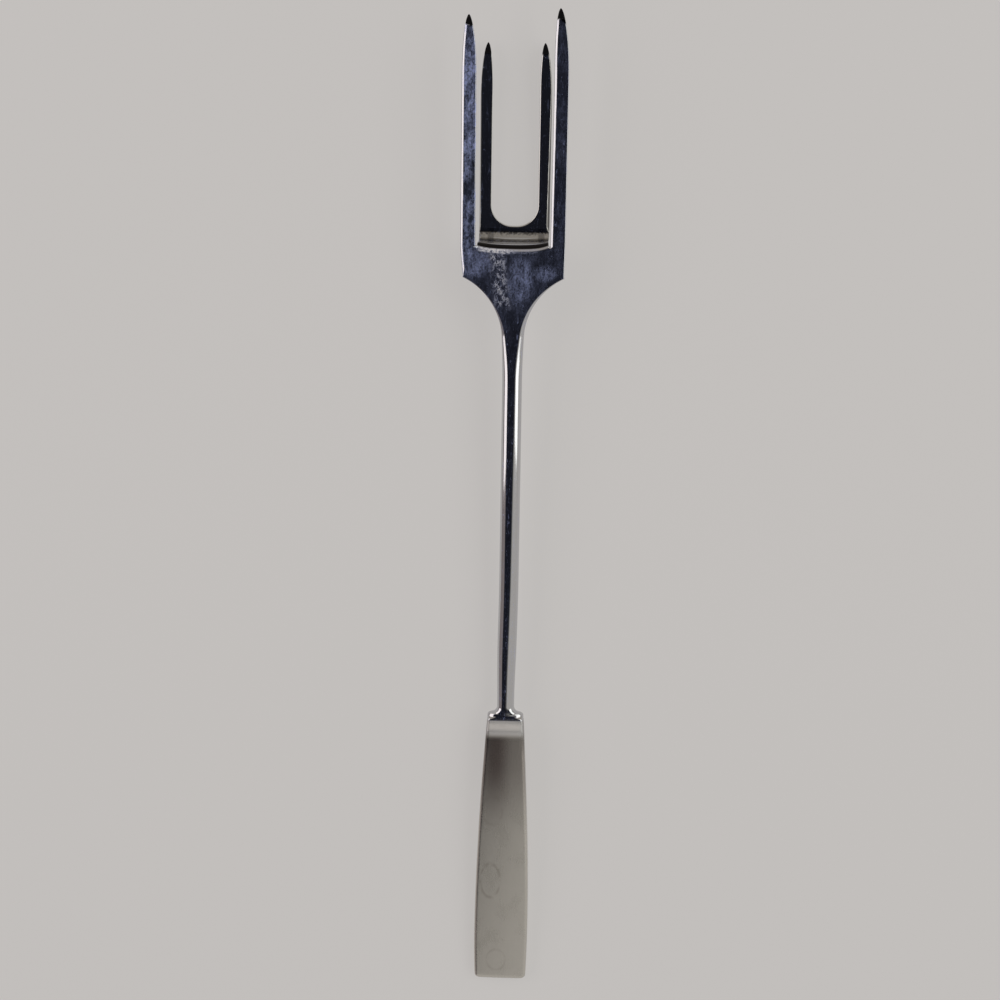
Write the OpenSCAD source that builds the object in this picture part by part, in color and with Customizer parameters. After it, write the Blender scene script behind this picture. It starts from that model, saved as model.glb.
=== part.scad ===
// Carving fork with four tines, made from one bar of stainless steel.
//
// The bar is forged into a slim shaft and a flat handle, and its end is spread into a thin head.
// Three cuts free a middle tongue from the head. The tongue is folded back to a short shelf and
// folded up again, where it carries the second pair of tines. The outer pair stays in the head's
// plane, so the four tines stand as two rows, one behind the other.
//
// The fork's own frame: the tines point to +Y and the polished front is the plane z = 0, facing
// +Z. y = 0 is the crest of the fold. rest_pose() then lays the fork down on its back.

/* [Length] */
// From the end of the handle to the tips of the outer tines
total_len = 330; // [300:5:360]
// Handle, from its end to its shoulder
handle_len = 98.6; // [85:0.2:115]

/* [Head] */
// Thickness of the spread head, the tongue and all four tines
plate_t = 2; // [1.6:0.1:2.4]
// Width of the head across the outer tines
head_w = 33.4; // [31:0.2:37]
// Width of the head at its lower corners
head_foot_w = 32.4; // [29:0.2:33]
// From the crest of the fold down to the lower corners
head_len = 10.6; // [8:0.2:14]
// Radius of the hollow curves between the head and the shaft
shoulder_r = 21; // [17:0.5:25]
// Rounding of the long edges of the head and the tines
edge_r = 0.6; // [0.3:0.05:0.75]

/* [Outer tines] */
// From the crest of the fold to the tip
tine_len = 73; // [62:1:84]
// How much shorter the left outer tine has worn
left_wear = 2.2; // [0:0.1:3]
// Width of an outer tine where its point begins
tine_w = 4.5; // [3.8:0.1:5]
// Width of an outer tine at the fold
tine_root_w = 4.75; // [4:0.05:5.4]
// Length of the point of an outer tine
point_len = 18; // [12:1:24]
// Length over which a tine thins towards its tip
thinning_len = 9; // [6:0.5:12]
// How much a tine would thin by its tip without the bevel
thinning = 0.5; // [0:0.05:0.7]
// Length of the bevel that is ground on the front of each point
bevel_len = 3.2; // [1.5:0.1:5]

/* [Fold] */
// Inner radius of the first fold, behind the crest
crest_bend_r = 0.5; // [0.4:0.1:0.9]
// From the front of the outer tines back to the front of the rear tines
setback = 13; // [10:0.5:16]
// Inner radius of the second fold, at the foot of the rear tines
heel_bend_r = 3.2; // [1.5:0.1:3.6]
// Slit between each outer tine and the tongue
slit_w = 0.6; // [0.4:0.05:1]

/* [Rear tines] */
// From the crest of the fold to the tips
rear_len = 62; // [54:0.5:70]
// Width of a rear tine
rear_tine_w = 3.85; // [3.2:0.05:4.6]
// Length of the point of a rear tine
rear_point_len = 16; // [10:1:22]
// Height of the web under the notch, above the crest
notch_rise = 4.3; // [3.9:0.1:6.5]
// Radius of the two lower corners of the notch
notch_corner_r = 6.8; // [5:0.1:6.8]

/* [Shaft] */
// Width of the shaft
shaft_w = 6.4; // [5.6:0.1:7.2]
// Width that the shaft swells to under the head, between the hollow curves
shaft_top_w = 8.3; // [7.4:0.1:9.6]
// Thickness of the shaft
shaft_t = 5; // [4:0.1:5.6]
// Share of the shaft's section that is round, from 0 for flat sides to 1 for an oval
shaft_roundness = 0.88; // [0.6:0.02:0.94]
// Length of the change from the wide, thin head to the slim shaft, from the lower corners
swell_len = 34; // [26:1:44]
// Width at the waist, just above the handle
waist_w = 5.7; // [5:0.1:6.2]
// Thickness at the waist
waist_t = 4.6; // [4:0.1:5.2]
// Length over which the shaft narrows to the waist
waist_len = 24; // [14:1:34]

/* [Handle] */
// Radius of the fillet where the shaft runs into the handle's shoulder
neck_r = 2.4; // [1.6:0.1:2.8]
// Width of the collar at the top of the handle
collar_w = 12; // [11:0.2:14]
// Radius of the collar's corners, seen from the front
collar_corner_r = 0.8; // [0.4:0.1:1.2]
// Height of the collar, below the shoulder
collar_h = 3.6; // [2.4:0.1:5]
// Length of the slope from the collar up to the broad faces
slope_len = 3; // [1.5:0.1:5]
// How far each broad face stands out from the collar
proud = 1.25; // [0.6:0.05:1.6]
// Greatest width of the handle
handle_w = 18.4; // [15:0.2:22]
// From the end of the handle to its greatest width
handle_w_at = 17; // [10:1:30]
// Width of the handle at its end
end_w = 17.7; // [14.6:0.1:18.2]
// Thickness of the handle at its end
end_t = 4; // [3.2:0.1:6]
// Rounding of the handle's long edges
handle_edge_r = 1.4; // [0.8:0.1:1.5]
// Radius of the two corners at the end of the handle, seen from the front
end_corner_r = 1.6; // [1:0.1:3]
// Rounding of the end's edges, front and back
end_edge_r = 1; // [0.5:0.1:1.4]

/* [Hidden] */

// Facets: steps in the quarter round of an edge, in a fold and in an outline's curve
edge_steps = 4;
fold_steps = 8;
curve_steps = 12;
// What is left of a tine's width and thickness at its very tip
tip_share = 0.09;
tip_t = 2 * tip_share * plate_t;
// Fullness of a point: 0.5 is a half ellipse, and more is slimmer
point_fullness = 0.55;

// Places along the fork
split_y = -(crest_bend_r + plate_t);
foot_y = -head_len;
end_y = tine_len - total_len;
shoulder_y = end_y + handle_len;
// The hollow curve of the head leaves the shaft's side at this height
hollow_x = shaft_top_w / 2 + shoulder_r;
hollow_y = foot_y - sqrt(pow(shoulder_r, 2) - pow(hollow_x - head_foot_w / 2, 2));
// Angle that the hollow curve spans, from the shaft to the lower corner
hollow_angle = asin((foot_y - hollow_y) / shoulder_r);

// The tongue and the rear pair
slot_root_w = head_w - 2 * tine_root_w;
slot_tip_w = head_w - 2 * tine_w;
tongue_w = slot_root_w - 2 * slit_w;
notch_w = tongue_w - 2 * rear_tine_w;
notch_r = min(notch_corner_r, notch_w / 2 - 0.1);
notch_corner_x = notch_w / 2 - notch_r;
notch_corner_y = notch_rise + notch_r;

// Radii at mid thickness and outside
crest_mid_r = crest_bend_r + plate_t / 2;
heel_mid_r = heel_bend_r + plate_t / 2;

// The handle is symmetric about the waist's mid plane
handle_mid_z = -waist_t / 2;

// Curves

function mix(a, b, u) = a * (1 - u) + b * u;
function clamp01(u) = max(0, min(1, u));
// Runs from 0 to 1 with level ends
function ease(u) = let (c = clamp01(u)) c * c * (3 - 2 * c);
// Share of the full width at a distance d from the tip of a point
function point_share(d, len) =
    max(tip_share, pow(1 - pow(1 - clamp01(d / len), 2), point_fullness));
// Thickness at a distance d from a tip. The front sinks a little, and is then ground down in a bevel.
function sunk_t(d) = plate_t - thinning * pow(1 - clamp01(d / thinning_len), 2);
function point_t(d) = d < bevel_len ? mix(tip_t, sunk_t(bevel_len), d / bevel_len) : sunk_t(d);
// Places along a point, closer together towards its tip, with one at the top of the bevel
function point_places(length, len) =
    let (turn = asin(1 - bevel_len / len))
        [
            for (a = concat([for (i = [0 : 8]) turn * i / 8], [for (i = [1 : 5]) mix(turn, 90, i / 5)]))
                length - len * (1 - sin(a))
        ];

// Sections

// A rectangle w by t with elliptic corners rx by ry, counter-clockwise
function ring(w, t, rx, ry) = [
    for (corner = [[1, 1, 0], [-1, 1, 90], [-1, -1, 180], [1, -1, 270]], i = [0 : edge_steps])
        let (a = corner[2] + 90 * i / edge_steps)
            [corner[0] * (w / 2 - rx) + rx * cos(a), corner[1] * (t / 2 - ry) + ry * sin(a)]
];
// A ring of the plate, with its edges rounded as far as its size allows
function plate_ring(w, t) =
    let (rx = min(edge_r, 0.45 * w), ry = min(edge_r, 0.45 * t)) ring(w, t, rx, ry);
// A ring set at a point, with its width along one direction and its thickness along another
function set_ring(points, at, across, up) = [for (p = points) at + p[0] * across + p[1] * up];

// A closed skin over rings of equal count, from the first to the last
module skin(rings) {
    n = len(rings[0]);
    last = len(rings) - 1;
    sides = [
        for (k = [0 : last - 1], i = [0 : n - 1])
            let (a = k * n + i, b = k * n + (i + 1) % n)
                each [[a, b, a + n], [b, b + n, a + n]]
    ];
    caps = [[for (i = [n - 1 : -1 : 0]) i], [for (i = [0 : n - 1]) last * n + i]];
    polyhedron([for (r = rings) each r], concat(caps, sides));
}

// The bar: handle, shaft and head

function handle_width(y) =
    let (widest_y = end_y + handle_w_at)
        y < widest_y
            ? mix(end_w, handle_w, cos(90 * (widest_y - y) / handle_w_at))
            : mix(collar_w, handle_w, sin(90 * (shoulder_y - y) / (shoulder_y - widest_y)));
function slope_share(y) = ease((shoulder_y - collar_h - y) / slope_len);
function handle_thickness(y) =
    let (belly = 1 - cos(90 * clamp01((shoulder_y - y) / handle_len)))
        waist_t + slope_share(y) * mix(2 * proud, end_t - waist_t, belly);
function handle_round(y) = mix(1, handle_edge_r, slope_share(y));
function waist_share(y) = ease((shoulder_y + neck_r + waist_len - y) / waist_len);
function swell_share(y) = ease((foot_y - y) / swell_len);
function shaft_width(y) =
    mix(mix(shaft_top_w, shaft_w, swell_share(y)), waist_w, waist_share(y));
function shaft_thickness(y) =
    mix(mix(plate_t, shaft_t, swell_share(y)), waist_t, waist_share(y));

// Ring of the shaft or the head at y. An edge that slants by an angle is rounded square to itself.
function bar_ring(y, w, slant = 0) =
    let (
        t = shaft_thickness(y),
        roundness = shaft_roundness * swell_share(y),
        rx = mix(edge_r / cos(slant), w / 2, roundness),
        ry = mix(edge_r, t / 2, roundness)
    )
        set_ring(ring(w, t, rx, ry), [0, y, -t / 2], [-1, 0, 0], [0, 0, 1]);
function handle_ring(y, w, t, r) =
    set_ring(ring(w, t, r, r), [0, y, handle_mid_z], [-1, 0, 0], [0, 0, 1]);

function end_rings() = [
    for (i = [0 : edge_steps])
        let (
            a = 90 * i / edge_steps,
            y = end_y + end_corner_r * (1 - cos(a)),
            w = end_w - 2 * end_corner_r * (1 - sin(a)),
            t = handle_thickness(y) - 2 * end_edge_r * (1 - sin(a))
        )
            handle_ring(y, w, t, min(handle_edge_r, 0.45 * t))
];
function broad_rings() = [
    for (i = [1 : curve_steps])
        let (y = mix(end_y + end_corner_r, shoulder_y - collar_h - slope_len, i / curve_steps))
            handle_ring(y, handle_width(y), handle_thickness(y), handle_round(y))
];
function slope_rings() = [
    for (i = [1 : 5])
        let (y = shoulder_y - collar_h - slope_len * (1 - i / 5))
            handle_ring(y, handle_width(y), handle_thickness(y), handle_round(y))
];
function collar_rings() =
    let (w = handle_width(shoulder_y - collar_corner_r))
        [
            for (i = [0 : edge_steps])
                let (a = 90 * i / edge_steps, inset = collar_corner_r * (1 - cos(a)))
                    handle_ring(
                        shoulder_y - collar_corner_r * (1 - sin(a)),
                        w - 2 * inset,
                        waist_t,
                        mix(1, 1.6, i / edge_steps)
                    )
        ];
// The fillet leaves the shoulder level and ends along the shaft's side
function neck_rings() = [
    for (i = [1 : 6])
        let (
            a = 15 * i,
            y = shoulder_y + neck_r * (1 - cos(a)),
            w = waist_w + 2 * neck_r * (1 - sin(a)),
            r = mix(1.6, shaft_roundness * waist_t / 2, i / 6)
        )
            handle_ring(y, w, waist_t, r)
];
// The shaft is even between the waist and the swelling under the head
function shaft_rings() =
    let (
        neck_y = shoulder_y + neck_r,
        swell_y = foot_y - swell_len,
        waist = [for (i = [1 : 6]) neck_y + waist_len * i / 6],
        swelling = [for (i = [0 : 5]) mix(swell_y, hollow_y, i / 5)]
    )
        [for (y = concat(waist, swelling)) bar_ring(y, shaft_width(y))];
function hollow_rings() = [
    for (i = [1 : curve_steps])
        let (a = hollow_angle * i / curve_steps, y = hollow_y + shoulder_r * sin(a))
            bar_ring(y, shaft_width(y) + 2 * shoulder_r * (1 - cos(a)), a)
];
function head_width(y) = mix(head_foot_w, head_w, ease((y - foot_y) / head_len));
// The first ring lies where the rounded edges of the hollow and of the side meet
function head_rings() = [
    for (i = [0 : 4])
        let (y = mix(foot_y + edge_r * tan(hollow_angle / 2), split_y, i / 4))
            bar_ring(y, head_width(y))
];

module bar() {
    skin(concat(
        end_rings(), broad_rings(), slope_rings(), collar_rings(), neck_rings(),
        shaft_rings(), hollow_rings(), head_rings()
    ));
}

// The outer tines

// side is 1 for the right tine and -1 for the left one
module outer_tine(side, length) {
    point_y = length - point_len;
    straight = [for (i = [0 : 5]) mix(split_y, point_y, i / 6)];
    skin([
        for (y = concat(straight, point_places(length, point_len)))
            let (
                outside = head_width(y) / 2,
                inside = mix(slot_root_w, slot_tip_w, (y - split_y) / (point_y - split_y)) / 2,
                d = length - y,
                t = point_t(d),
                w = (y < point_y ? outside - inside : tine_w) * point_share(d, point_len),
                x = y < point_y ? (outside + inside) / 2 : (head_w - tine_w) / 2
            )
                set_ring(
                    plate_ring(w, t), [side * x, y, t / 2 - plate_t], [-1, 0, 0], [0, 0, 1]
                )
    ]);
}

// The tongue, from the head through both folds to the foot of the rear tines

function crest_fold_rings() = [
    for (i = [0 : fold_steps])
        let (a = 90 * i / fold_steps, up = [0, sin(a), cos(a)])
            set_ring(
                plate_ring(tongue_w, plate_t),
                [0, split_y, split_y] + crest_mid_r * up, [-1, 0, 0], up
            )
];
function heel_fold_rings() = [
    for (i = [0 : fold_steps])
        let (a = 90 * i / fold_steps, up = [0, cos(a), sin(a)])
            set_ring(
                plate_ring(tongue_w, plate_t),
                [0, heel_bend_r, heel_bend_r - setback] - heel_mid_r * up, [-1, 0, 0], up
            )
];
module tongue() {
    skin(concat(crest_fold_rings(), heel_fold_rings()));
}

// The rear pair: one skin that runs from tip to tip round the notch. Each ring reaches from a
// point on the notch to a point on the outside, which is a side or the seat on the heel fold.

function quarter(i) = 90 * i / edge_steps;
// Ring from the notch point p, where out leads away from the notch, to the outside point q, where
// across leads out of the side and r is the rounding of the side's edges
function rung(p, out, q, across, r, t = plate_t) =
    let (e = min(edge_r, 0.45 * t), back = -setback - plate_t, front = back + t)
        [
            for (i = [0 : edge_steps])
                [each p + out * e * (1 - cos(quarter(i))), front - e * (1 - sin(quarter(i)))],
            for (i = [0 : edge_steps])
                [each q - across * r * (1 - sin(quarter(i))), front - r * (1 - cos(quarter(i)))],
            for (i = [0 : edge_steps])
                [each q - across * r * (1 - cos(quarter(i))), back + r * (1 - sin(quarter(i)))],
            for (i = [0 : edge_steps])
                [each p + out * e * (1 - sin(quarter(i))), back + e * (1 - cos(quarter(i)))]
        ];
// Rings from the middle of the notch round its right corner
function corner_rungs() =
    let (
        rise = notch_corner_y - heel_bend_r,
        reach = tongue_w / 2 - notch_corner_x,
        foot_angle = atan2(rise, reach)
    )
        [
            for (i = [0 : 6])
                let (a = mix(90, foot_angle, i / 6), out = [cos(a), -sin(a)])
                    rung(
                        [notch_corner_x, notch_corner_y] + notch_r * out, out,
                        [notch_corner_x + rise / tan(a), heel_bend_r],
                        [1, 0], i < 6 ? 0 : edge_r
                    ),
            for (i = [1 : 5])
                let (a = mix(foot_angle, 0, i / 5), out = [cos(a), -sin(a)])
                    rung(
                        [notch_corner_x, notch_corner_y] + notch_r * out, out,
                        [tongue_w / 2, notch_corner_y - reach * tan(a)], [1, 0], edge_r
                    )
        ];
// Rings up the right tine to its tip
function tine_rungs() =
    let (point_y = rear_len - rear_point_len)
        [
            for (y = concat([mix(notch_corner_y, point_y, 0.5)],
                            point_places(rear_len, rear_point_len)))
                let (
                    d = rear_len - y,
                    half = rear_tine_w / 2 * point_share(d, rear_point_len),
                    x = (notch_w + rear_tine_w) / 2,
                    t = point_t(d),
                    r = min(edge_r, 0.45 * t, 0.9 * half)
                )
                    rung([x - half, y], [1, 0], [x + half, y], [1, 0], r, t)
        ];
function mirrored(r) = [for (p = r) [-p[0], p[1], p[2]]];

module rear_pair() {
    right = concat(corner_rungs(), tine_rungs());
    left = [for (k = [len(right) - 1 : -1 : 0]) mirrored(right[k])];
    skin(concat(left, right));
}

// The fork at rest: it lies on its back, on the heel of the fold and on the end of its handle.
// Each of these two is a rounding with its centre at [y, z] in the fork's own frame.

heel_at = [heel_bend_r, heel_bend_r - setback];
heel_out_r = heel_bend_r + plate_t;
end_at_y = end_y + end_corner_r;
end_at = [end_at_y, handle_mid_z - handle_thickness(end_at_y) / 2 + end_edge_r];
rest_span = heel_at - end_at;
// Turn about X that brings both roundings down to one level, with the tines raised
rest_tilt = asin((heel_out_r - end_edge_r) / norm(rest_span)) - atan2(rest_span[1], rest_span[0]);

// Lays the fork down with its lowest point at z = 0 and its length centred on y = 0
module rest_pose() {
    tip_y = tine_len * cos(rest_tilt) + plate_t * sin(rest_tilt);
    butt_y = end_y * cos(rest_tilt) - (handle_mid_z + end_t / 2 - end_edge_r) * sin(rest_tilt);
    low_z = heel_at[0] * sin(rest_tilt) + heel_at[1] * cos(rest_tilt) - heel_out_r;
    translate([0, -(tip_y + butt_y) / 2, -low_z]) rotate([rest_tilt, 0, 0]) children();
}

module carving_fork() {
    color("silver") rest_pose() {
        bar();
        outer_tine(-1, tine_len - left_wear);
        outer_tine(1, tine_len);
        tongue();
        rear_pair();
    }
}

carving_fork();
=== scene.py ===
# %% [markdown]
# # A carving fork, cut and folded from one bar of steel
#
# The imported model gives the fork's frame, its size and its rest on the floor. Its solid is faceted,
# which is enough for collision, but a mirror polish shows every facet. So this lesson builds the
# same fork again with a finer skin, and gives it the two finishes of the real one.
#
# Every size below is in millimetres and in the fork's own frame: the tines point to +Y, the
# polished front is the plane z = 0 and y = 0 is the crest of the fold. Only at the end is the
# skin laid down on the floor and turned into metres.

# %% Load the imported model
import math

import bmesh
import bpy
import numpy as np
from mathutils import Matrix, Vector


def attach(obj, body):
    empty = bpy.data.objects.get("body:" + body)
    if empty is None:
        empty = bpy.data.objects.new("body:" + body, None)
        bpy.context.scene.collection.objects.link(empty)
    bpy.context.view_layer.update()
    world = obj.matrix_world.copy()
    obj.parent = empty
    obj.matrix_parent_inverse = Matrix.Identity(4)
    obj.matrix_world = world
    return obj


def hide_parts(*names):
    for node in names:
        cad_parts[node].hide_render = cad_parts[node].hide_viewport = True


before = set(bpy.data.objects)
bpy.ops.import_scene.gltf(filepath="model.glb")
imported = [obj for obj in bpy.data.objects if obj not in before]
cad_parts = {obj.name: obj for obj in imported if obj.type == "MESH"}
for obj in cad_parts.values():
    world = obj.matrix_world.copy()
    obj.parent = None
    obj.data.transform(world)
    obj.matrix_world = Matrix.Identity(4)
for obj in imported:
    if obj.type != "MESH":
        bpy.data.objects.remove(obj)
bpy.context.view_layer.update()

# %% [markdown]
# ## Sizes
#
# The same sizes as in the solid, so that the skin lies where the solid lies. What the solid leaves
# out is added further down: the crest of the fold sags in its middle, because it was folded by
# hand, and each edge is broken as polishing and use have left it.

# %% Sizes of the fork
TOTAL_LEN, HANDLE_LEN = 330.0, 98.6
PLATE_T = 2.0
HEAD_W, HEAD_FOOT_W, HEAD_LEN, HOLLOW_R = 33.4, 32.4, 10.6, 21.0
TINE_LEN, TINE_WEAR, TINE_W, TINE_ROOT_W, POINT_LEN = 73.0, 2.2, 4.5, 4.75, 18.0
THIN_LEN, THINNING, BEVEL_LEN, TIP_SHARE, TIP_T = 9.0, 0.5, 3.2, 0.09, 0.36
POINT_POWER = 0.55
SETBACK, CREST_BEND_R, HEEL_BEND_R, SLIT_W = 13.0, 0.5, 3.2, 0.6
REAR_LEN, REAR_TINE_W, REAR_POINT_LEN, NOTCH_RISE, NOTCH_R = 62.0, 3.85, 16.0, 4.3, 6.8
SHAFT_TOP_W, SHAFT_W, SHAFT_T, SHAFT_ROUND, SWELL_LEN = 8.3, 6.4, 5.0, 0.88, 34.0
WAIST_W, WAIST_T, WAIST_LEN = 5.7, 4.6, 24.0
NECK_R, COLLAR_W, COLLAR_R, COLLAR_H, SLOPE_LEN, PROUD = 2.4, 12.0, 0.8, 3.6, 3.0, 1.25
SLOPE_TOP_UP, SLOPE_FOOT_UP = 1.2, 0.5
HANDLE_W, HANDLE_W_AT, END_W, END_T = 18.4, 17.0, 17.7, 4.0
END_CORNER_R, END_EDGE_R = 1.6, 1.0
MM = 0.001

SPLIT_Y = -(CREST_BEND_R + PLATE_T)
END_Y = TINE_LEN - TOTAL_LEN
SHOULDER_Y = END_Y + HANDLE_LEN
SLOPE_TOP = SHOULDER_Y - COLLAR_H + SLOPE_TOP_UP
SLOPE_FOOT = SHOULDER_Y - COLLAR_H - SLOPE_LEN + SLOPE_FOOT_UP
FOOT_Y = -HEAD_LEN
JOIN_Y = -5.0
print("from the end at", END_Y, "to the tips at", TINE_LEN, "mm")


# %% Small helpers on numbers
def mix(a, b, u):
    return a + (b - a) * u


def ease(u):
    u = min(1.0, max(0.0, u))
    return u * u * (3 - 2 * u)


def point_share(d, length):
    """Share of a tine's full width at a distance d from its tip."""
    u = min(1.0, max(0.0, d / length))
    return max(TIP_SHARE, (1 - (1 - u) ** 2) ** POINT_POWER)


def sunk_t(d):
    """Thickness at a distance d from a tip, before the bevel is ground."""
    return PLATE_T - THINNING * (1 - min(1.0, d / THIN_LEN)) ** 2


def point_t(d):
    """Thickness at a distance d from a tip, whose front sinks and is then ground to a bevel."""
    return mix(TIP_T, sunk_t(BEVEL_LEN), max(0.0, d) / BEVEL_LEN) if d < BEVEL_LEN else sunk_t(d)


print("a tip is", TIP_T, "mm thick, and its bevel starts at", round(sunk_t(BEVEL_LEN), 2))

# %% [markdown]
# ## The forged bar
#
# On the real fork a rod is forged out at one end for the handle and at the other for the head.
# Its shape follows a rule: at every station along its length it has one section, a rectangle with
# elliptic corners. A loft could be written out as a list of faces, but a Geometry Nodes tree says
# the rule itself. The stations are bare points that carry the section's sizes as attributes, and
# the tree turns a grid into the skin by placing grid point (row, column) on section number row.
#
# Maths in nodes is hard to read as boxes and wires. Two small classes help: one adds nodes to a
# tree, and one wraps a socket and overloads the operators, so that an expression adds its own Math
# nodes. Shader trees and geometry trees share the Math node, so the same classes write both.

# %% Classes that write node trees as Python
class Wiring:
    """A node tree, and the one way in which nodes are added to it."""

    def __init__(self, tree):
        self.tree = tree
        tree.nodes.clear()

    @staticmethod
    def find(sockets, key):
        """A socket by its number, its identifier or its name."""
        if isinstance(key, int):
            return sockets[key]
        return next((s for s in sockets if s.identifier == key), None) or sockets[key]

    def add(self, kind, settings=None, values=None, out=0):
        """Adds a node: its settings first, then the values or links of its sockets."""
        made = self.tree.nodes.new(kind)
        for name, value in (settings or {}).items():
            setattr(made, name, value)
        for key, value in (values or {}).items():
            socket = self.find(made.inputs, key)
            if isinstance(value, Expr):
                self.tree.links.new(value.socket, socket)
            elif socket.type == "RGBA":
                socket.default_value = (*value, 1.0)
            else:
                socket.default_value = value
        return Expr(self, self.find(made.outputs, out)) if len(made.outputs) else None


class Expr:
    """A socket; the operators on it add Math nodes."""

    def __init__(self, wiring, socket):
        self.wiring = wiring
        self.socket = socket

    def output(self, key):
        """Another output of the same node."""
        return Expr(self.wiring, Wiring.find(self.socket.node.outputs, key))

    def math(self, operation, *terms, clamp=False):
        settings = {"operation": operation, "use_clamp": clamp}
        return self.wiring.add("ShaderNodeMath", settings, dict(enumerate(terms)))

    def __add__(self, o):
        return self.math("ADD", self, o)

    def __radd__(self, o):
        return self.math("ADD", o, self)

    def __sub__(self, o):
        return self.math("SUBTRACT", self, o)

    def __rsub__(self, o):
        return self.math("SUBTRACT", o, self)

    def __mul__(self, o):
        return self.math("MULTIPLY", self, o)

    def __rmul__(self, o):
        return self.math("MULTIPLY", o, self)

    def __truediv__(self, o):
        return self.math("DIVIDE", self, o)

    def __pow__(self, o):
        return self.math("POWER", self, o)

    def __abs__(self):
        return self.math("ABSOLUTE", self)

    def __gt__(self, o):
        return self.math("GREATER_THAN", self, o)

    def floor(self):
        return self.math("FLOOR", self)

    def clamp(self):
        return self.math("ADD", self, 0.0, clamp=True)

    def most(self, o):
        return self.math("MAXIMUM", self, o)

    def step(self, low, high):
        """0 below low and 1 above high, with a smooth rise between; high may be the lower one."""
        t = ((self - low) * (1.0 / (high - low))).clamp()
        return t * t * (3.0 - 2.0 * t)


print("expressions ready")

# %% [markdown]
# The section at a station has a half width, a half thickness, a middle height, and a corner for
# each side. The corners differ. Polishing has worn the left edges of the head into a narrow sloping
# facet, and hardly touched the right ones, which is why a white line runs down the left of each
# tine and none down its right. A corner's bulge says which of the two it is: 1 is a round corner,
# and more makes it a straighter facet.

# %% Edges of the head
LEFT_EDGE = (0.75, 0.42, 1.65)
RIGHT_EDGE = (0.25, 0.25, 1.0)


def head_edge(side, y):
    """How far the corner reaches in from the side and down from the face, and its bulge."""
    if side > 0:
        return RIGHT_EDGE
    share = ease((y - FOOT_Y) / 3.0)
    return tuple(mix(a, b, share) for a, b in zip(RIGHT_EDGE, LEFT_EDGE))


print("left edge", LEFT_EDGE, "right edge", RIGHT_EDGE)


# %% Widths and thicknesses along the bar
def handle_width(y):
    """Widest a little way from its end, and narrower in a curve towards the collar."""
    widest = END_Y + HANDLE_W_AT
    if y < widest:
        return mix(END_W, HANDLE_W, math.cos(math.radians(90 * (widest - y) / HANDLE_W_AT)))
    turn = 90 * (SHOULDER_Y - y) / (SHOULDER_Y - widest)
    return mix(COLLAR_W, HANDLE_W, math.sin(math.radians(turn)))


def slope_share(y):
    """0 on the collar and 1 on the handle, with the slope between them."""
    return ease((SLOPE_TOP - y) / (SLOPE_TOP - SLOPE_FOOT))


def handle_thickness(y):
    along = min(1.0, max(0.0, (SHOULDER_Y - y) / HANDLE_LEN))
    belly = 1 - math.cos(math.radians(90 * along))
    return WAIST_T + slope_share(y) * mix(2 * PROUD, END_T - WAIST_T, belly)


def swell_share(y):
    return ease((FOOT_Y - y) / SWELL_LEN)


def waist_share(y):
    return ease((SHOULDER_Y + NECK_R + WAIST_LEN - y) / WAIST_LEN)


def shaft_width(y):
    return mix(mix(SHAFT_TOP_W, SHAFT_W, swell_share(y)), WAIST_W, waist_share(y))


def shaft_thickness(y):
    return mix(mix(PLATE_T, SHAFT_T, swell_share(y)), WAIST_T, waist_share(y))


def head_width(y):
    return mix(HEAD_FOOT_W, HEAD_W, ease((y - FOOT_Y) / HEAD_LEN))


HOLLOW_X = SHAFT_TOP_W / 2 + HOLLOW_R
HOLLOW_Y = FOOT_Y - math.sqrt(HOLLOW_R ** 2 - (HOLLOW_X - HEAD_FOOT_W / 2) ** 2)
HOLLOW_ANGLE = math.asin((FOOT_Y - HOLLOW_Y) / HOLLOW_R)
print("the hollow curves start at y", round(HOLLOW_Y, 2))


# %% [markdown]
# Now the stations, from the handle's end to the join with the head. They lie close together where
# the outline turns quickly: round the corners of the end, on the shoulders of the collar and in the
# hollow curves below the head.

# %% Stations of the bar
NECK_HALF, NECK_DROP = 1.0, 2.2
NARROWING_FROM, NARROWING_LEN = 2.1, 1.5


def handle_station(y, w, t, reach, drop=None):
    """Station of the handle or the collar, with the same round corner on both sides."""
    corner = (reach, drop or reach, 1.0)
    return (y, w / 2, t / 2, -WAIST_T / 2, *corner, *corner)


def shaft_station(y, w, slant=0.0):
    """Station of the shaft or the head. A slanting side is rounded square to itself."""
    t = shaft_thickness(y)
    rounded = SHAFT_ROUND * swell_share(y)
    corners = []
    for side in (-1, 1):
        reach, drop, bulge = head_edge(side, y)
        corners.append(mix(reach / math.cos(slant), w / 2, rounded))
        corners.append(mix(drop, t / 2, rounded))
        corners.append(mix(bulge, 1.0, rounded))
    return (y, w / 2, t / 2, -t / 2, *corners)


def handle_stations():
    """From a point at the end, over the end's round corners, to the top of the slope."""
    rows = [(END_Y, 1e-4, 1e-4, -WAIST_T / 2, 1e-5, 1e-5, 1.0, 1e-5, 1e-5, 1.0)]
    for i in range(9):
        lack = 1 - math.sin(math.radians(90 * i / 8))
        y = END_Y + END_CORNER_R * (1 - math.cos(math.radians(90 * i / 8)))
        t = handle_thickness(y) - 2 * END_EDGE_R * lack
        rows.append(handle_station(y, END_W - 2 * END_CORNER_R * lack, t, 1.0))
    places = [mix(END_Y + END_CORNER_R, SLOPE_FOOT, i / 60) for i in range(1, 61)]
    places += [mix(SLOPE_FOOT, SLOPE_TOP, i / 18) for i in range(1, 19)]
    for y in places:
        rows.append(handle_station(y, handle_width(y), handle_thickness(y), 1.0))
    return rows


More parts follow.
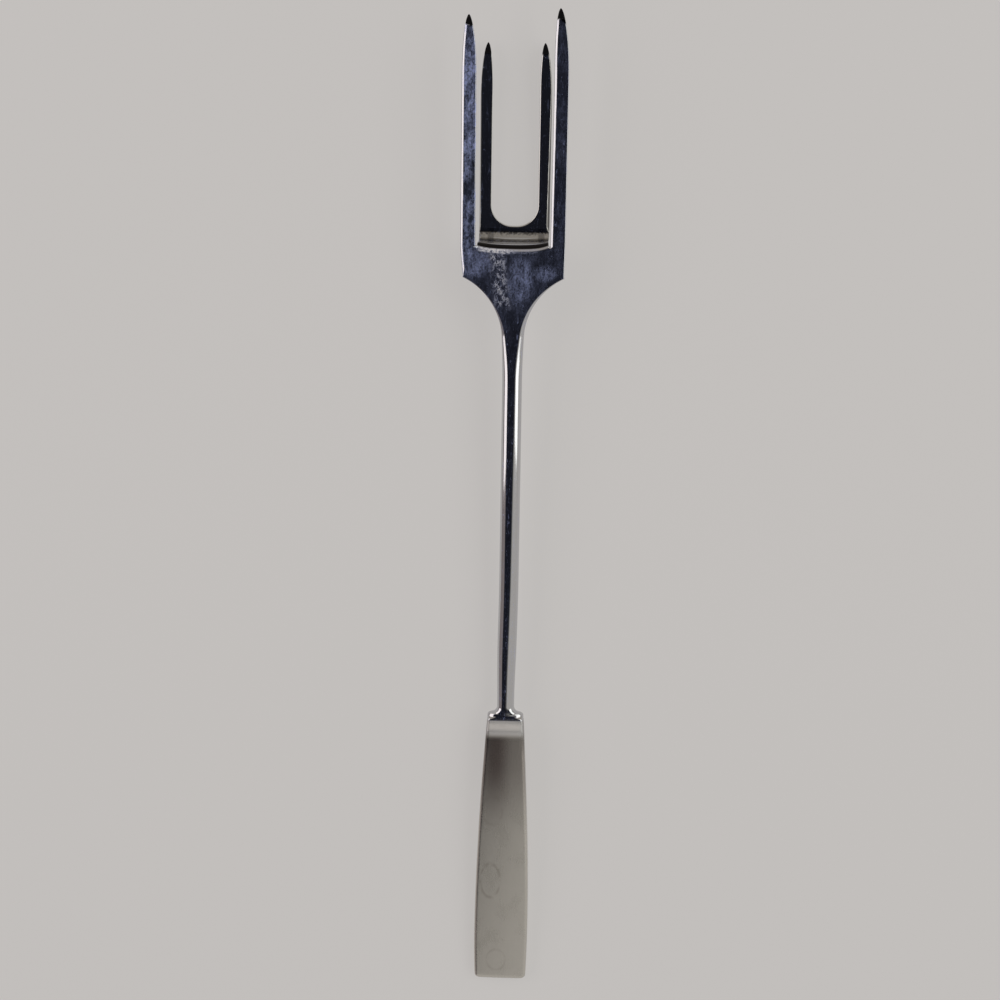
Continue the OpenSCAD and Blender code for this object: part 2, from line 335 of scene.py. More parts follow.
def neck_stations():
    """The collar's face narrows upwards, because its two shoulders slope away from the shaft."""
    rows = []
    w = handle_width(SHOULDER_Y - COLLAR_R)
    for i in range(1, 21):
        y = mix(SLOPE_TOP, SHOULDER_Y, i / 20)
        turn = max(0.0, (y - SHOULDER_Y + COLLAR_R) / COLLAR_R)
        half = w / 2 - COLLAR_R * (1 - math.sqrt(max(0.0, 1 - turn * turn)))
        share = ease((y - SHOULDER_Y + NARROWING_FROM) / NARROWING_LEN)
        reach, drop = mix(1.0, half - NECK_HALF, share), mix(1.0, NECK_DROP, share)
        rows.append(handle_station(y, 2 * half, WAIST_T, reach, drop))
    end_reach = mix(RIGHT_EDGE[0], WAIST_W / 2, SHAFT_ROUND)
    end_drop = mix(RIGHT_EDGE[1], WAIST_T / 2, SHAFT_ROUND)
    for i in range(1, 13):
        a = math.radians(7.5 * i)
        y = SHOULDER_Y + NECK_R * (1 - math.cos(a))
        half = WAIST_W / 2 + NECK_R * (1 - math.sin(a))
        reach = mix(half - NECK_HALF, end_reach, ease(i / 12))
        rows.append(handle_station(y, 2 * half, WAIST_T, reach, mix(NECK_DROP, end_drop, i / 12)))
    return rows


def head_stations():
    """Up the shaft, round the hollow curves below the head, and on to the join."""
    rows = []
    for i in range(1, 61):
        y = mix(SHOULDER_Y + NECK_R, HOLLOW_Y, i / 60)
        rows.append(shaft_station(y, shaft_width(y)))
    for i in range(1, 41):
        a = HOLLOW_ANGLE * i / 40
        y = HOLLOW_Y + HOLLOW_R * math.sin(a)
        rows.append(shaft_station(y, shaft_width(y) + 2 * HOLLOW_R * (1 - math.cos(a)), a))
    for i in range(17):
        y = mix(FOOT_Y + RIGHT_EDGE[0] * math.tan(HOLLOW_ANGLE / 2), JOIN_Y, i / 16)
        rows.append(shaft_station(y, head_width(y)))
    return rows


stations = handle_stations() + neck_stations() + head_stations()
print(len(stations), "stations")

# %% [markdown]
# The stations become a mesh of loose points with named attributes. The tree's inputs are the
# number of steps in a corner's quarter round, the number of rows and the material, so the same
# tree could make a coarser fork. From a grid point's number it works out the point's row and its
# column, and from the column the corner and the angle within it. The grid's two long edges meet,
# so the tree merges them and then ends in Realize Instances and Set Material.

# %% The tree that sweeps the sections
STEPS = 8
SIZES = ("half_width", "half_thickness", "middle",
         "left_reach", "left_drop", "left_bulge", "right_reach", "right_drop", "right_bulge")


def sweep_tree():
    group = bpy.data.node_groups.new("sweep_sections", "GeometryNodeTree")
    nodes = Wiring(group)
    for name, kind in (("Stations", "Geometry"), ("Corner steps", "Int"), ("Rows", "Int"),
                       ("Finish", "Material")):
        group.interface.new_socket(name=name, in_out="INPUT", socket_type="NodeSocket" + kind)
    group.interface.new_socket(name="Skin", in_out="OUTPUT", socket_type="NodeSocketGeometry")
    given = nodes.add("NodeGroupInput")
    steps, rows = given.output("Corner steps"), given.output("Rows")
    around = (steps + 1.0) * 4.0
    grid = nodes.add("GeometryNodeMeshGrid", None, {"Vertices X": rows, "Vertices Y": around + 1.0})
    index = nodes.add("GeometryNodeInputIndex")
    row = ((index + 0.5) / (around + 1.0)).floor()
    column = index - row * (around + 1.0)
    column = column.math("MODULO", column, around)
    corner = ((column + 0.5) / (steps + 1.0)).floor()
    angle = (corner + (column - corner * (steps + 1.0)) / steps) * (math.pi / 2)
    on_left = (corner > 0.5) * (1.0 - (corner > 2.5))
    side, face = 1.0 - 2.0 * on_left, 1.0 - 2.0 * (corner > 1.5)

    def size(name):
        stored = nodes.add(
            "GeometryNodeInputNamedAttribute", {"data_type": "FLOAT"}, {"Name": name})
        return nodes.add("GeometryNodeSampleIndex", {"data_type": "FLOAT"},
                         {"Geometry": given, "Value": stored, "Index": row})

    def cornered(name):
        return mix(size("right_" + name), size("left_" + name), on_left)

    reach, drop, bulge = cornered("reach"), cornered("drop"), cornered("bulge")
    x = side * (size("half_width") - reach + reach * abs(angle.math("COSINE", angle)) ** bulge)
    z = size("middle") + face * (
        size("half_thickness") - drop + drop * abs(angle.math("SINE", angle)) ** bulge)
    place = nodes.add("ShaderNodeCombineXYZ", None, {"X": x, "Y": size("station_y"), "Z": z})
    skin = nodes.add("GeometryNodeSetPosition", None, {"Geometry": grid, "Position": place})
    skin = nodes.add("GeometryNodeMergeByDistance", None, {"Geometry": skin, "Distance": 0.002})
    skin = nodes.add("GeometryNodeRealizeInstances", None, {"Geometry": skin})
    skin = nodes.add("GeometryNodeSetMaterial", None,
                     {"Geometry": skin, "Material": given.output("Finish")})
    nodes.add("NodeGroupOutput", None, {"Skin": skin})
    return group


def set_inputs(modifier, values):
    """Sets a tree's inputs by the identifiers of their sockets."""
    for item in modifier.node_group.interface.items_tree:
        if item.in_out == "INPUT" and item.name in values:
            modifier[item.identifier] = values[item.name]


tree = sweep_tree()
print("tree of", len(tree.nodes), "nodes")

# %% Sweep the bar
steel = bpy.data.materials.new("worn_steel")
points = bpy.data.meshes.new("bar_stations")
points.from_pydata([(0.0, s[0], 0.0) for s in stations], [], [])
for place, name in enumerate(("station_y",) + SIZES):
    values = [s[place] for s in stations]
    points.attributes.new(name, "FLOAT", "POINT").data.foreach_set("value", values)
bar = bpy.data.objects.new("bar_stations", points)
bpy.context.scene.collection.objects.link(bar)
sweep = bar.modifiers.new("sweep", "NODES")
sweep.node_group = tree
set_inputs(sweep, {"Corner steps": STEPS, "Rows": len(stations), "Finish": steel})
bar_mesh = bpy.data.meshes.new_from_object(bar.evaluated_get(bpy.context.evaluated_depsgraph_get()))
bpy.data.objects.remove(bar)
print("bar:", len(bar_mesh.vertices), "points,", len(bar_mesh.polygons), "faces")

# %% [markdown]
# ## The head: a flat blank, cut and folded
#
# The head is sheet work, so it is made as a smith makes it. First comes the outline of the flat
# blank, with the two outer tines, the two cuts and the long middle tongue that ends in the rear
# tines. The blank keeps its flat faces as they are, and only then is the tongue folded. A bend
# neither stretches nor shortens the middle of the plate, so lengths round it are measured there.

# %% The outline of the blank
CUT_Y = -0.5
MID_T = PLATE_T / 2
SHELF_START = SPLIT_Y + (CREST_BEND_R + MID_T) * math.pi / 2
HEEL_START = SHELF_START + SETBACK - HEEL_BEND_R + SPLIT_Y
HEEL_END = HEEL_START + (HEEL_BEND_R + MID_T) * math.pi / 2
UNROLLED = HEEL_END - HEEL_BEND_R
TONGUE_HALF = HEAD_W / 2 - TINE_ROOT_W - SLIT_W
PLENTY = 9.0


def arc(cx, cy, r, start, end, count):
    """Points on a round of the outline, where the edge may be broken as far as it likes."""
    turns = [math.radians(mix(start, end, i / count)) for i in range(count + 1)]
    return [(cx + r * math.cos(a), cy + r * math.sin(a), PLENTY) for a in turns]


def point(middle, width, length, tip, count):
    """Outline of a point, up its right side and down its left one."""
    turns = [math.radians(90 * i / count) for i in range(count + 1)]
    heights = [tip - length * (1 - math.sin(turn)) for turn in turns]
    halves = [width / 2 * point_share(tip - y, length) for y in heights]
    right_side = [(middle + half, y, 0.5 * half) for y, half in zip(heights, halves)]
    left_side = [(middle - half, y, 0.5 * half) for y, half in zip(heights, halves)]
    return right_side + left_side[::-1]


def outline_half(length):
    """The blank's right half, from the join up round both tines to the middle of the notch.

    Each entry is x, y and how far its edge may be broken."""
    point_y, root_x = length - POINT_LEN, HEAD_W / 2 - TINE_ROOT_W
    out = []
    for i in range(13):
        y = mix(JOIN_Y, point_y, i / 13)
        out.append((head_width(y) / 2, y, PLENTY))
    out += point((HEAD_W - TINE_W) / 2, TINE_W, POINT_LEN, length, 30)
    for i in range(1, 14):
        y = mix(point_y, CUT_Y + SLIT_W / 2, i / 13)
        out.append((mix(HEAD_W / 2 - TINE_W, root_x, i / 13), y, PLENTY))
    out += arc(root_x - SLIT_W / 2, CUT_Y + SLIT_W / 2, SLIT_W / 2, 0, -180, 10)[1:]
    rear_point = REAR_LEN - REAR_POINT_LEN + UNROLLED
    for i in range(1, 30):
        out.append((TONGUE_HALF, mix(CUT_Y + SLIT_W / 2, rear_point, i / 30), PLENTY))
    middle = TONGUE_HALF - REAR_TINE_W / 2
    out += point(middle, REAR_TINE_W, REAR_POINT_LEN, REAR_LEN + UNROLLED, 26)
    notch_half = TONGUE_HALF - REAR_TINE_W
    centre_y = NOTCH_RISE + NOTCH_R + UNROLLED
    for i in range(1, 10):
        out.append((notch_half, mix(rear_point, centre_y, i / 10), PLENTY))
    out += arc(notch_half - NOTCH_R, centre_y, NOTCH_R, 0, -90, 24)
    out.append((0.0, NOTCH_RISE + UNROLLED, PLENTY))
    return out


right = outline_half(TINE_LEN)
left = [(-x, y, room) for x, y, room in reversed(outline_half(TINE_LEN - TINE_WEAR))]
outline = np.array(right[:-1] + left)
print(len(outline), "outline points")

# %% [markdown]
# The direction out of the blank at a point is square to the line through its two neighbours. The
# edges of the head and of the outer tines follow the same rule as the bar's. The rear tines were
# filed by hand: their outer sides carry a steep chamfer that gets wider towards the fold, and their
# inner sides are nearly sharp. Each edge below is given as its reach, its drop and its bulge.

# %% Break the blank's edges
REAR_RIGHT_EDGE = (0.15, 0.15, 1.0)
REAR_LEFT_EDGE = (0.40, 0.22, 1.5)
CHAMFER_LOW, CHAMFER_HIGH, CHAMFER_BULGE = (0.9, 1.35), (0.25, 0.3), 1.5
CHAMFER_FROM, CHAMFER_LEN, LEFT_CHAMFER_SHARE = 8, 42, 0.5
BACK_DROP_MOST = 0.45

ahead, behind = np.roll(outline[:, :2], -1, 0), np.roll(outline[:, :2], 1, 0)
along = ahead - behind
along[0], along[-1] = (0.0, 1.0), (0.0, -1.0)
outward = np.column_stack([along[:, 1], -along[:, 0]]) / np.linalg.norm(along, axis=1)[:, None]
in_point = outline[:, 2] < PLENTY
outward[in_point] = np.column_stack([np.sign(outward[in_point, 0]), np.zeros(in_point.sum())])

x, y, room = outline.T
on_tongue = (x > -TONGUE_HALF - SLIT_W - 0.01) & (x < TONGUE_HALF + 0.01)
in_rear = on_tongue & (y > HEEL_END)
rear_outer = in_rear & (np.abs(x) > TONGUE_HALF - REAR_TINE_W / 2)
facing_left = (1 - outward[:, 0]) / 2
left_share = np.where(on_tongue, 0.0, facing_left)
edge = [mix(a, b, left_share) for a, b in zip(RIGHT_EDGE, LEFT_EDGE)]
rear_edge = [mix(a, b, facing_left) for a, b in zip(REAR_RIGHT_EDGE, REAR_LEFT_EDGE)]
reach, drop, bulge = (np.where(in_rear, b, a) for a, b in zip(edge, rear_edge))

up = np.clip((y - UNROLLED - CHAMFER_FROM) / CHAMFER_LEN, 0, 1)
wide, deep = (mix(a, b, up) for a, b in zip(CHAMFER_LOW, CHAMFER_HIGH))
reach = np.where(rear_outer, wide * np.where(x > 0, 1.0, LEFT_CHAMFER_SHARE), reach)
drop = np.where(rear_outer, deep, drop)
bulge = np.where(rear_outer, CHAMFER_BULGE, bulge)
drop = drop * np.minimum(1.0, room / reach)
reach = np.minimum(reach, room)
back_drop = np.minimum(drop, BACK_DROP_MOST)
print("edges: widest", round(reach.max(), 2), "mm, narrowest", round(reach.min(), 3), "mm")

# %% [markdown]
# The broken edge is a stack of rings, as a turned rim is: each ring is the outline, moved inwards
# and down by its share of the corner. Quads join the rings, and the first and the last ring are
# each filled with one flat face. A big flat face can't bend, so it is then cut into narrow rows and
# columns where the tongue will fold and where the points will get thinner. Two of the rows lie
# close together at the start of a bevel, which keeps that line crisp.

# %% Rings of the blank's edge, from its front face to its back face
profile = []
for k in range(2 * STEPS + 2):
    turn = math.radians(90 * (k % (STEPS + 1)) / STEPS)
    s, c = math.sin(turn) ** bulge, math.cos(turn) ** bulge
    if k <= STEPS:
        inset, depth = reach * (1 - s), drop * (1 - c)
    else:
        inset, depth = reach * (1 - c), PLATE_T - back_drop * (1 - s)
    profile.append(np.column_stack([outline[:, :2] - outward * inset[:, None], -depth]))
print("edge rings:", len(profile))

# %% Skin of the flat blank
blank = bmesh.new()
rings = [[blank.verts.new(p) for p in ring] for ring in profile]
count = len(outline)
for lower, upper in zip(rings, rings[1:]):
    for i in range(count - 1):
        blank.faces.new((lower[i], upper[i], upper[i + 1], lower[i + 1]))
front, back = blank.faces.new(rings[0]), blank.faces.new(list(reversed(rings[-1])))
front.normal_update()
back.normal_update()
bmesh.ops.triangulate(blank, faces=[front, back], ngon_method="EAR_CLIP")


def cut_at(bm, axis, places, low, high):
    """Cuts every face between two heights of the blank by planes square to one axis."""
    normal = Vector((1, 0, 0) if axis == 0 else (0, 1, 0))
    for place in places:
        faces = [f for f in bm.faces
                 if min(v.co.y for v in f.verts) < high and max(v.co.y for v in f.verts) > low]
        cut = {v for f in faces for v in f.verts} | {e for f in faces for e in f.edges}
        bmesh.ops.bisect_plane(
            bm, geom=[*cut, *faces], dist=1e-4, plane_co=normal * place, plane_no=normal)


FLAT_BELOW = -3.05
CREST_ROWS, SHELF_ROWS_FROM, COLUMNS_TO = (-3.1, 0.7), 1.2, 11.2
TIP_ROWS = (9, 8, 7, 6, 5, 4, BEVEL_LEN + 0.08, BEVEL_LEN - 0.08, 2.4, 1.6, 0.8, 0.3)

bends = [mix(*CREST_ROWS, i / 30) for i in range(31)]
bends += [mix(SHELF_ROWS_FROM, HEEL_START, i / 5) for i in range(6)]
bends += [mix(HEEL_START, HEEL_END, i / 22) for i in range(1, 23)]
cut_at(blank, 1, bends, CREST_ROWS[0] - 0.2, HEEL_END + 1)
columns = [mix(-COLUMNS_TO, COLUMNS_TO, i / 33) for i in range(34)]
columns = [-TONGUE_HALF - 0.02] + columns + [TONGUE_HALF + 0.02]
cut_at(blank, 0, columns, FLAT_BELOW, HEEL_END + 0.1)
for tip in (TINE_LEN, TINE_LEN - TINE_WEAR, REAR_LEN + UNROLLED):
    below = [tip - d for d in TIP_ROWS]
    cut_at(blank, 1, below, tip - 10, tip + 0.1)
print("blank:", len(blank.verts), "points,", len(blank.faces), "faces")

# %% [markdown]
# The fold is a rule too: it takes a point of the blank, measures how far it lies past the line
# where the bend starts, and walks that far along the path of crest, shelf, heel and rear plate.
# The bend starts lower and is wider in the middle than beside the two cuts, so the crest sags. It
# ends a little higher at the right cut than at the left one. The two outer tines stay flat, and all
# four points get thinner towards their tips.

# %% Fold the tongue and thin the points
START_MIDDLE, START_GAIN = -2.8, 1.375
CREST_MIDDLE, CREST_GAIN = -0.1, 0.725
RIGHT_GAIN = 0.175


def fold(p):
    """Where a point of the flat blank lies on the folded head."""
    x, y, z = p
    over = z + MID_T
    if y < FLAT_BELOW or abs(x) > TONGUE_HALF + 0.01:
        length = TINE_LEN if x > 0 else TINE_LEN - TINE_WEAR
        return (x, y, -PLATE_T + (z + PLATE_T) * point_t(length - y) / PLATE_T)
    sideways = max(-1.0, min(1.0, x / TONGUE_HALF))
    start = START_MIDDLE + sideways ** 4 * (START_GAIN + RIGHT_GAIN * sideways)
    crest_scuff_highlight = CREST_MIDDLE + sideways ** 2 * (CREST_GAIN + RIGHT_GAIN * sideways)
    bend = crest_scuff_highlight - start
    mid = bend - MID_T
    shelf = start + mid * math.pi / 2
    if y <= start:
        return (x, y, z)
    if y <= shelf:
        a = (y - start) / mid
        return (x, start + (mid + over) * math.sin(a), -bend + (mid + over) * math.cos(a))
    fade = crest_scuff_highlight * (1 - ease((y - shelf) / (HEEL_END - shelf)))
    if y <= HEEL_START:
        low = HEEL_BEND_R - SETBACK
        return (x, over - MID_T + fade, mix(-bend, low, (y - shelf) / (HEEL_START - shelf)))
    if y <= HEEL_END:
        b = (y - HEEL_START) / (HEEL_BEND_R + MID_T)
        r = HEEL_BEND_R + MID_T - over
        return (x, HEEL_BEND_R - r * math.cos(b) + fade, HEEL_BEND_R - SETBACK - r * math.sin(b))
    height = y - UNROLLED
    rear_back = -SETBACK - PLATE_T
    return (x, height, rear_back + (z + PLATE_T) * point_t(REAR_LEN - height) / PLATE_T)


for v in blank.verts:
    v.co = Vector(fold(v.co))
print("folded to z", round(min(v.co.z for v in blank.verts), 3))

# %% [markdown]
# ## At rest
#
# A fork that is put down touches the table in two places: with the heel of its fold and with the
# end of its handle. Both are rounds, and a line that touches two rounds from below is found with
# an arcsine. It gives the tilt and the lift, so nothing has to be nudged into place by eye.

# %% The fork at rest, on the heel of its fold and on the end of its handle
HEEL_AT = (HEEL_BEND_R, HEEL_BEND_R - SETBACK)
END_AT_Y = END_Y + END_CORNER_R
END_AT = (END_AT_Y, -WAIST_T / 2 - handle_thickness(END_AT_Y) / 2 + END_EDGE_R)
HEEL_OUT_R = HEEL_BEND_R + PLATE_T
span = (HEEL_AT[0] - END_AT[0], HEEL_AT[1] - END_AT[1])
TILT = math.asin((HEEL_OUT_R - END_EDGE_R) / math.hypot(*span)) - math.atan2(span[1], span[0])
tip_y = TINE_LEN * math.cos(TILT) + PLATE_T * math.sin(TILT)
butt_y = END_Y * math.cos(TILT) - (-WAIST_T / 2 + END_T / 2 - END_EDGE_R) * math.sin(TILT)
FORWARD = -(tip_y + butt_y) / 2
LIFT = HEEL_OUT_R - HEEL_AT[0] * math.sin(TILT) - HEEL_AT[1] * math.cos(TILT)
TO_REST = (Matrix.Scale(MM, 4) @ Matrix.Translation((0, FORWARD, LIFT))
           @ Matrix.Rotation(TILT, 4, "X"))
print("tilt", round(math.degrees(TILT), 3), "degrees, lift", round(LIFT, 3), "mm")

# %% [markdown]
# ## One skin
#
# The bar and the head meet at a section that both were given, point for point, so the two open
# rims can be welded. Then every pair of points that all but coincide becomes one, so that no sliver
# of a face and no open edge is left.

# %% Weld the two parts
blank.from_mesh(bar_mesh)
rims = [v for v in blank.verts if any(e.is_boundary for e in v.link_edges)]
bmesh.ops.remove_doubles(blank, verts=rims, dist=0.004)
bmesh.ops.remove_doubles(blank, verts=blank.verts, dist=0.002)
bmesh.ops.dissolve_degenerate(blank, edges=blank.edges, dist=0.0005)
bmesh.ops.recalc_face_normals(blank, faces=blank.faces)
print("open edges:", sum(not e.is_manifold for e in blank.edges))

# %% [markdown]
# Three things keep a hand-made fork from looking drawn with a ruler. The broad faces of the handle
# are crowned by a fifth of a millimetre, from the belt they were ground on. The bar isn't dead
# straight: it sways by up to half a millimetre on its way from the head to the handle's end. And
# each point leans a little to one side, as far as it was ground from there.
#
# SWAY gives heights and how far the bar has swayed there. A lean is how far a tip leans, the height
# where it starts and the length over which it grows, first for the left point and then for the
# right one.

# %% Crown the handle, let the bar sway and the points lean
CROWN = 0.22
SWAY = ((-300, -0.5), (-257, -0.5), (-200, -0.25), (-150, 0.0), (-110, 0.42), (-14, 0.42),
        (0, 0.0), (90, 0.0))
OUTER_LEANS = ((-0.35, 54, 19), (-0.8, 48, 25))
REAR_LEANS = ((0.3, 40, 22), (-0.5, 40, 22))
REAR_BELOW = -6
CROWN_COLUMNS_TO = 8.4


def sway(y):
    for (low, a), (high, b) in zip(SWAY, SWAY[1:]):
        if y <= high:
            return mix(a, b, ease((y - low) / (high - low)))
    return 0.0


def lean_of_point(x, y, z):
    by, start, length = (REAR_LEANS if z < REAR_BELOW else OUTER_LEANS)[x > 0]
    return by * max(0.0, (y - start) / length) ** 2


columns = [mix(-CROWN_COLUMNS_TO, CROWN_COLUMNS_TO, i / 20) for i in range(21)]
cut_at(blank, 0, columns, END_Y - 1, SLOPE_TOP)
for v in blank.verts:
    x, y, z = v.co
    if y < SLOPE_TOP:
        from_middle = (z + WAIST_T / 2) / (handle_thickness(max(y, END_Y)) / 2)
        z -= CROWN * slope_share(y) * from_middle * (2 * x / HANDLE_W) ** 2
    v.co = Vector((x + sway(y) + lean_of_point(x, y, z), y, z))
print("crown", CROWN, "mm")

# %% [markdown]
# A smooth skin needs shading normals that keep the flats flat: the Weighted Normal modifier lets
# each large face win over the small faces of the edge beside it. Its result is taken as a plain
# mesh, because a finished piece carries no modifier that is still needed.

# %% Lay the fork down and set the shading
for f in blank.faces:
    f.smooth = True
blank.transform(TO_REST)
fork_mesh = bpy.data.meshes.new("polished_fork")
blank.to_mesh(fork_mesh)
blank.free()
fork_mesh.materials.clear()
fork_mesh.materials.append(steel)
fork = bpy.data.objects.new("polished_fork", fork_mesh)
bpy.context.scene.collection.objects.link(fork)
weighted = fork.modifiers.new("flats_stay_flat", "WEIGHTED_NORMAL")
weighted.mode, weighted.weight, weighted.keep_sharp = "FACE_AREA", 50, False
finished = bpy.data.meshes.new_from_object(
    fork.evaluated_get(bpy.context.evaluated_depsgraph_get()))
fork.modifiers.remove(weighted)
fork.data = finished
finished.name = "polished_fork"
print("faces:", len(finished.polygons))

# %% [markdown]
# ## The finish
#
# The fork is one stainless steel with two finishes. From the collar up it is mirror polished, and
# washing and use have left a bluish haze, small scratches and a rubbed patch on the head. The
# handle is satin, with fine strokes along its length. All of it is one material: a clean mirror
# under a worn layer, and a mask that says how much of the worn layer shows at each place.
#
# The pattern reads the object's own coordinates, so it stays on the metal in every view. A Mapping
# node turns them back into the fork's own frame, in millimetres, where the places are easy to say.
# A mask is a number from 0 to 1 over the surface. Most of the masks below are made of steps, which
# rise smoothly from 0 to 1 between two values, and of noise that has been through a step.

# %% Coordinates on the fork
steel.use_nodes = True
shader = Wiring(steel.node_tree)
on_object = shader.add("ShaderNodeTexCoord", out="Object")
on_fork = shader.add("ShaderNodeMapping", {"vector_type": "TEXTURE"}, {
    "Vector": on_object, "Location": (0, FORWARD * MM, LIFT * MM),
    "Rotation": (TILT, 0, 0), "Scale": (MM, MM, MM)})
X = shader.add("ShaderNodeSeparateXYZ", None, {"Vector": on_fork}, "X")
Y, Z = X.output("Y"), X.output("Z")


def noise(grain, stretch=1.0, turn=0.0, detail=3.0, rough=0.55, shift=0.0):
    """Noise with features about grain millimetres wide and stretch times as long along Y."""
    placed = shader.add("ShaderNodeMapping", None, {
        "Vector": on_fork, "Location": (shift, shift * 0.7, 0.0),
        "Rotation": (0.0, 0.0, math.radians(turn)), "Scale": (1.0, 1.0 / stretch, 1.0)})
    return shader.add("ShaderNodeTexNoise", None, {
        "Vector": placed, "Scale": 1.0 / grain, "Detail": detail, "Roughness": rough})


def blend(wiring, factor, a, b):
    """A colour between a and b."""
    return wiring.add("ShaderNodeMix", {"data_type": "RGBA"},
                      {"Factor_Float": factor, "A_Color": a, "B_Color": b}, "Result_Color")


def near(value, middle, half, soft=0.3):
    """1 where a value lies within half of its middle, falling to 0 over a soft share of half."""
    return abs(value - middle).step(half * (1 + soft), half * (1 - soft))


print("coordinates ready")

# %% [markdown]
# Haze is the film of countless hair-fine scratches. It spreads a little of the light, so the dark
# mirror turns blue-grey where it lies. It is thickest on the left outer tine, beside the two cuts
# and on the middle of the head, and nearly absent on the rear tines, which stay black with a few
# specks. Three noises of different sizes, multiplied, keep it from looking like a cloud.

# %% Haze and specks
satin = Y.step(-160.5, -160.9)
rear = Z.step(-9.0, -11.5)


def blob(x, y, half_x, half_y):
    """A soft patch: 1 in its middle and 0 outside its ellipse."""
    away = ((X - x) * (1 / half_x)) ** 2.0 + ((Y - y) * (1 / half_y)) ** 2.0
    return away.step(1.6, 0.1)


left_tine = X.step(-10.0, -12.0) * Y.step(-14.0, 4.0)
upper = left_tine * Y.step(24.0, 52.0)
on_head = Y.step(-34.0, -20.0)
patches = noise(4.2, 1.7, 14, 4, 0.62).step(0.40, 0.62)
streaks = noise(1.2, 3.5, -8, 3, 0.6, 6.0).step(0.36, 0.64)
mottle = noise(0.5, 1.6, -20, 3, 0.7, 3.0).step(0.36, 0.66)
by_left_cut = blob(-12.0, -5.5, 5.4, 5.0)
mid_head = blob(2.6, -11.5, 4.2, 7.0) * 0.82
by_right_cut = blob(10.0, -9.0, 4.0, 2.5) * 0.55
thick = by_left_cut.most(mid_head).most(by_right_cut) * (0.68 + 0.5 * patches)
thick = thick.most(left_tine * (0.05 + 1.10 * patches) + upper * (0.35 + 0.45 * patches))
haze = (0.05 + 0.11 * patches + 0.66 * thick) * (0.06 + 0.46 * streaks + 0.62 * mottle)
left_rim = X.step(-15.85, -16.05)
haze = haze * (0.25 + 0.75 * on_head) * (1.0 - 0.95 * rear) * (1.0 - 0.85 * left_rim)
specks = noise(0.42, 1.0, 0, 2, 0.5, 17.0).step(0.69, 0.73) * (1.0 - satin)
print("haze: patches 4.2 mm, streaks 1.2 mm, mottle 0.5 mm")

# %% [markdown]
# Left of the head's middle is a patch that something has rubbed, with light curly marks in it. Such a
# mark is drawn where a noise crosses its middle value, because the border between high and low is a
# winding line. The crest of the fold gets the same whitish marks, more on its left than on its right.
# There they are partly scuffs and partly a painted highlight where the bend catches the light.

# %% Rubbed patch on the head, and the scuffed crest with its painted highlight
PATCH_X, PATCH_Y, PATCH_SLANT = -4.0, -11.0, -0.13
patch = near(X - PATCH_X - (Y - PATCH_Y) * PATCH_SLANT, 0.0, 2.5, 0.55)
patch = patch * near(Y, -11.2, 9.2, 0.22)
scrawl = abs(noise(1.25, 1.0, 0, 3, 0.6, 8.0) - 0.5).step(0.055, 0.010)
scrawl = scrawl.most(abs(noise(0.8, 1.6, -25, 3, 0.6, 21.0) - 0.5).step(0.060, 0.012))
cloud = noise(1.7, 1.4, 0, 4, 0.7, 5.0).step(0.38, 0.62)
rub = patch * cloud * (0.12 + 0.88 * scrawl)
crest_line = Y + 2.2 - X * X * 0.0065
# whitish band on the crest: scuffs, and a painted highlight of the bend
crest_scuff_highlight = near(crest_line, 0.0, 0.75, 0.45) * near(X, -1.5, 9.6, 0.15)
crest_scuff_highlight = crest_scuff_highlight * noise(0.9, 0.7, 0, 4, 0.7, 9.0).step(0.28, 0.58)
crest_scuff_highlight = crest_scuff_highlight * (0.30 + 0.70 * X.step(2.0, -3.5))
# real rubbed marks, together with the crest's painted highlight
scuffs_and_highlight = (rub * 0.80).most(crest_scuff_highlight)
print("rubbed patch at x", PATCH_X, "y", PATCH_Y, "mm")

# %% [markdown]
# A scratch is the same kind of line in a noise that is stretched along one direction, which makes
# the line nearly straight. Each set of scratches lies at its own angle and is broken up by a second
# noise. The strokes of the satin handle are a finer noise, stretched much further.

# %% Scratches
def scratches(turn, shift, width):
    """Thin broken lines at an angle to the fork's length."""
    lines = abs(noise(1.8, 18.0, turn, 1.0, 0.4, shift) - 0.5).step(width, 0.0)
    return lines * noise(1.7, 1.0, 0, 2, 0.5, shift + 5.0).step(0.50, 0.60)


marks = scratches(32, 1.0, 0.008).most(scratches(-55, 4.0, 0.007)).most(scratches(8, 7.0, 0.009))
marks = marks * (1.0 - satin) * (1.0 - 0.6 * rear)
strokes = noise(0.16, 45.0, 0, 3, 0.6)
print("three sets of scratches, and strokes along the handle")

# %% [markdown]
# The satin handle has been held for years: faint rings of three dried drops and a few brownish
# smudges are left on it. The points were ground to bevels, which are painted near black as a dark
# reflection. Each bevel starts in a ragged line that slants with the point. Tarnish has stayed where
# no polishing wheel reaches: on the fold's shelf, in the heel and in two patches beside it. The
# fold's crest gets a darker band. Painted shade fades the heel's dark side into its light side, and
# painted shade darkens the outer sides of the rear tines, where the outer tines keep the light from
# them.

# %% Stains on the handle, bevels painted dark, tarnish and painted shade
def drop_ring(x, y, half_x, half_y, width):
    away = (((X - x) * (1 / half_x)) ** 2.0 + ((Y - y) * (1 / half_y)) ** 2.0) ** 0.5
    return near(away, 1.0, width, 0.9)


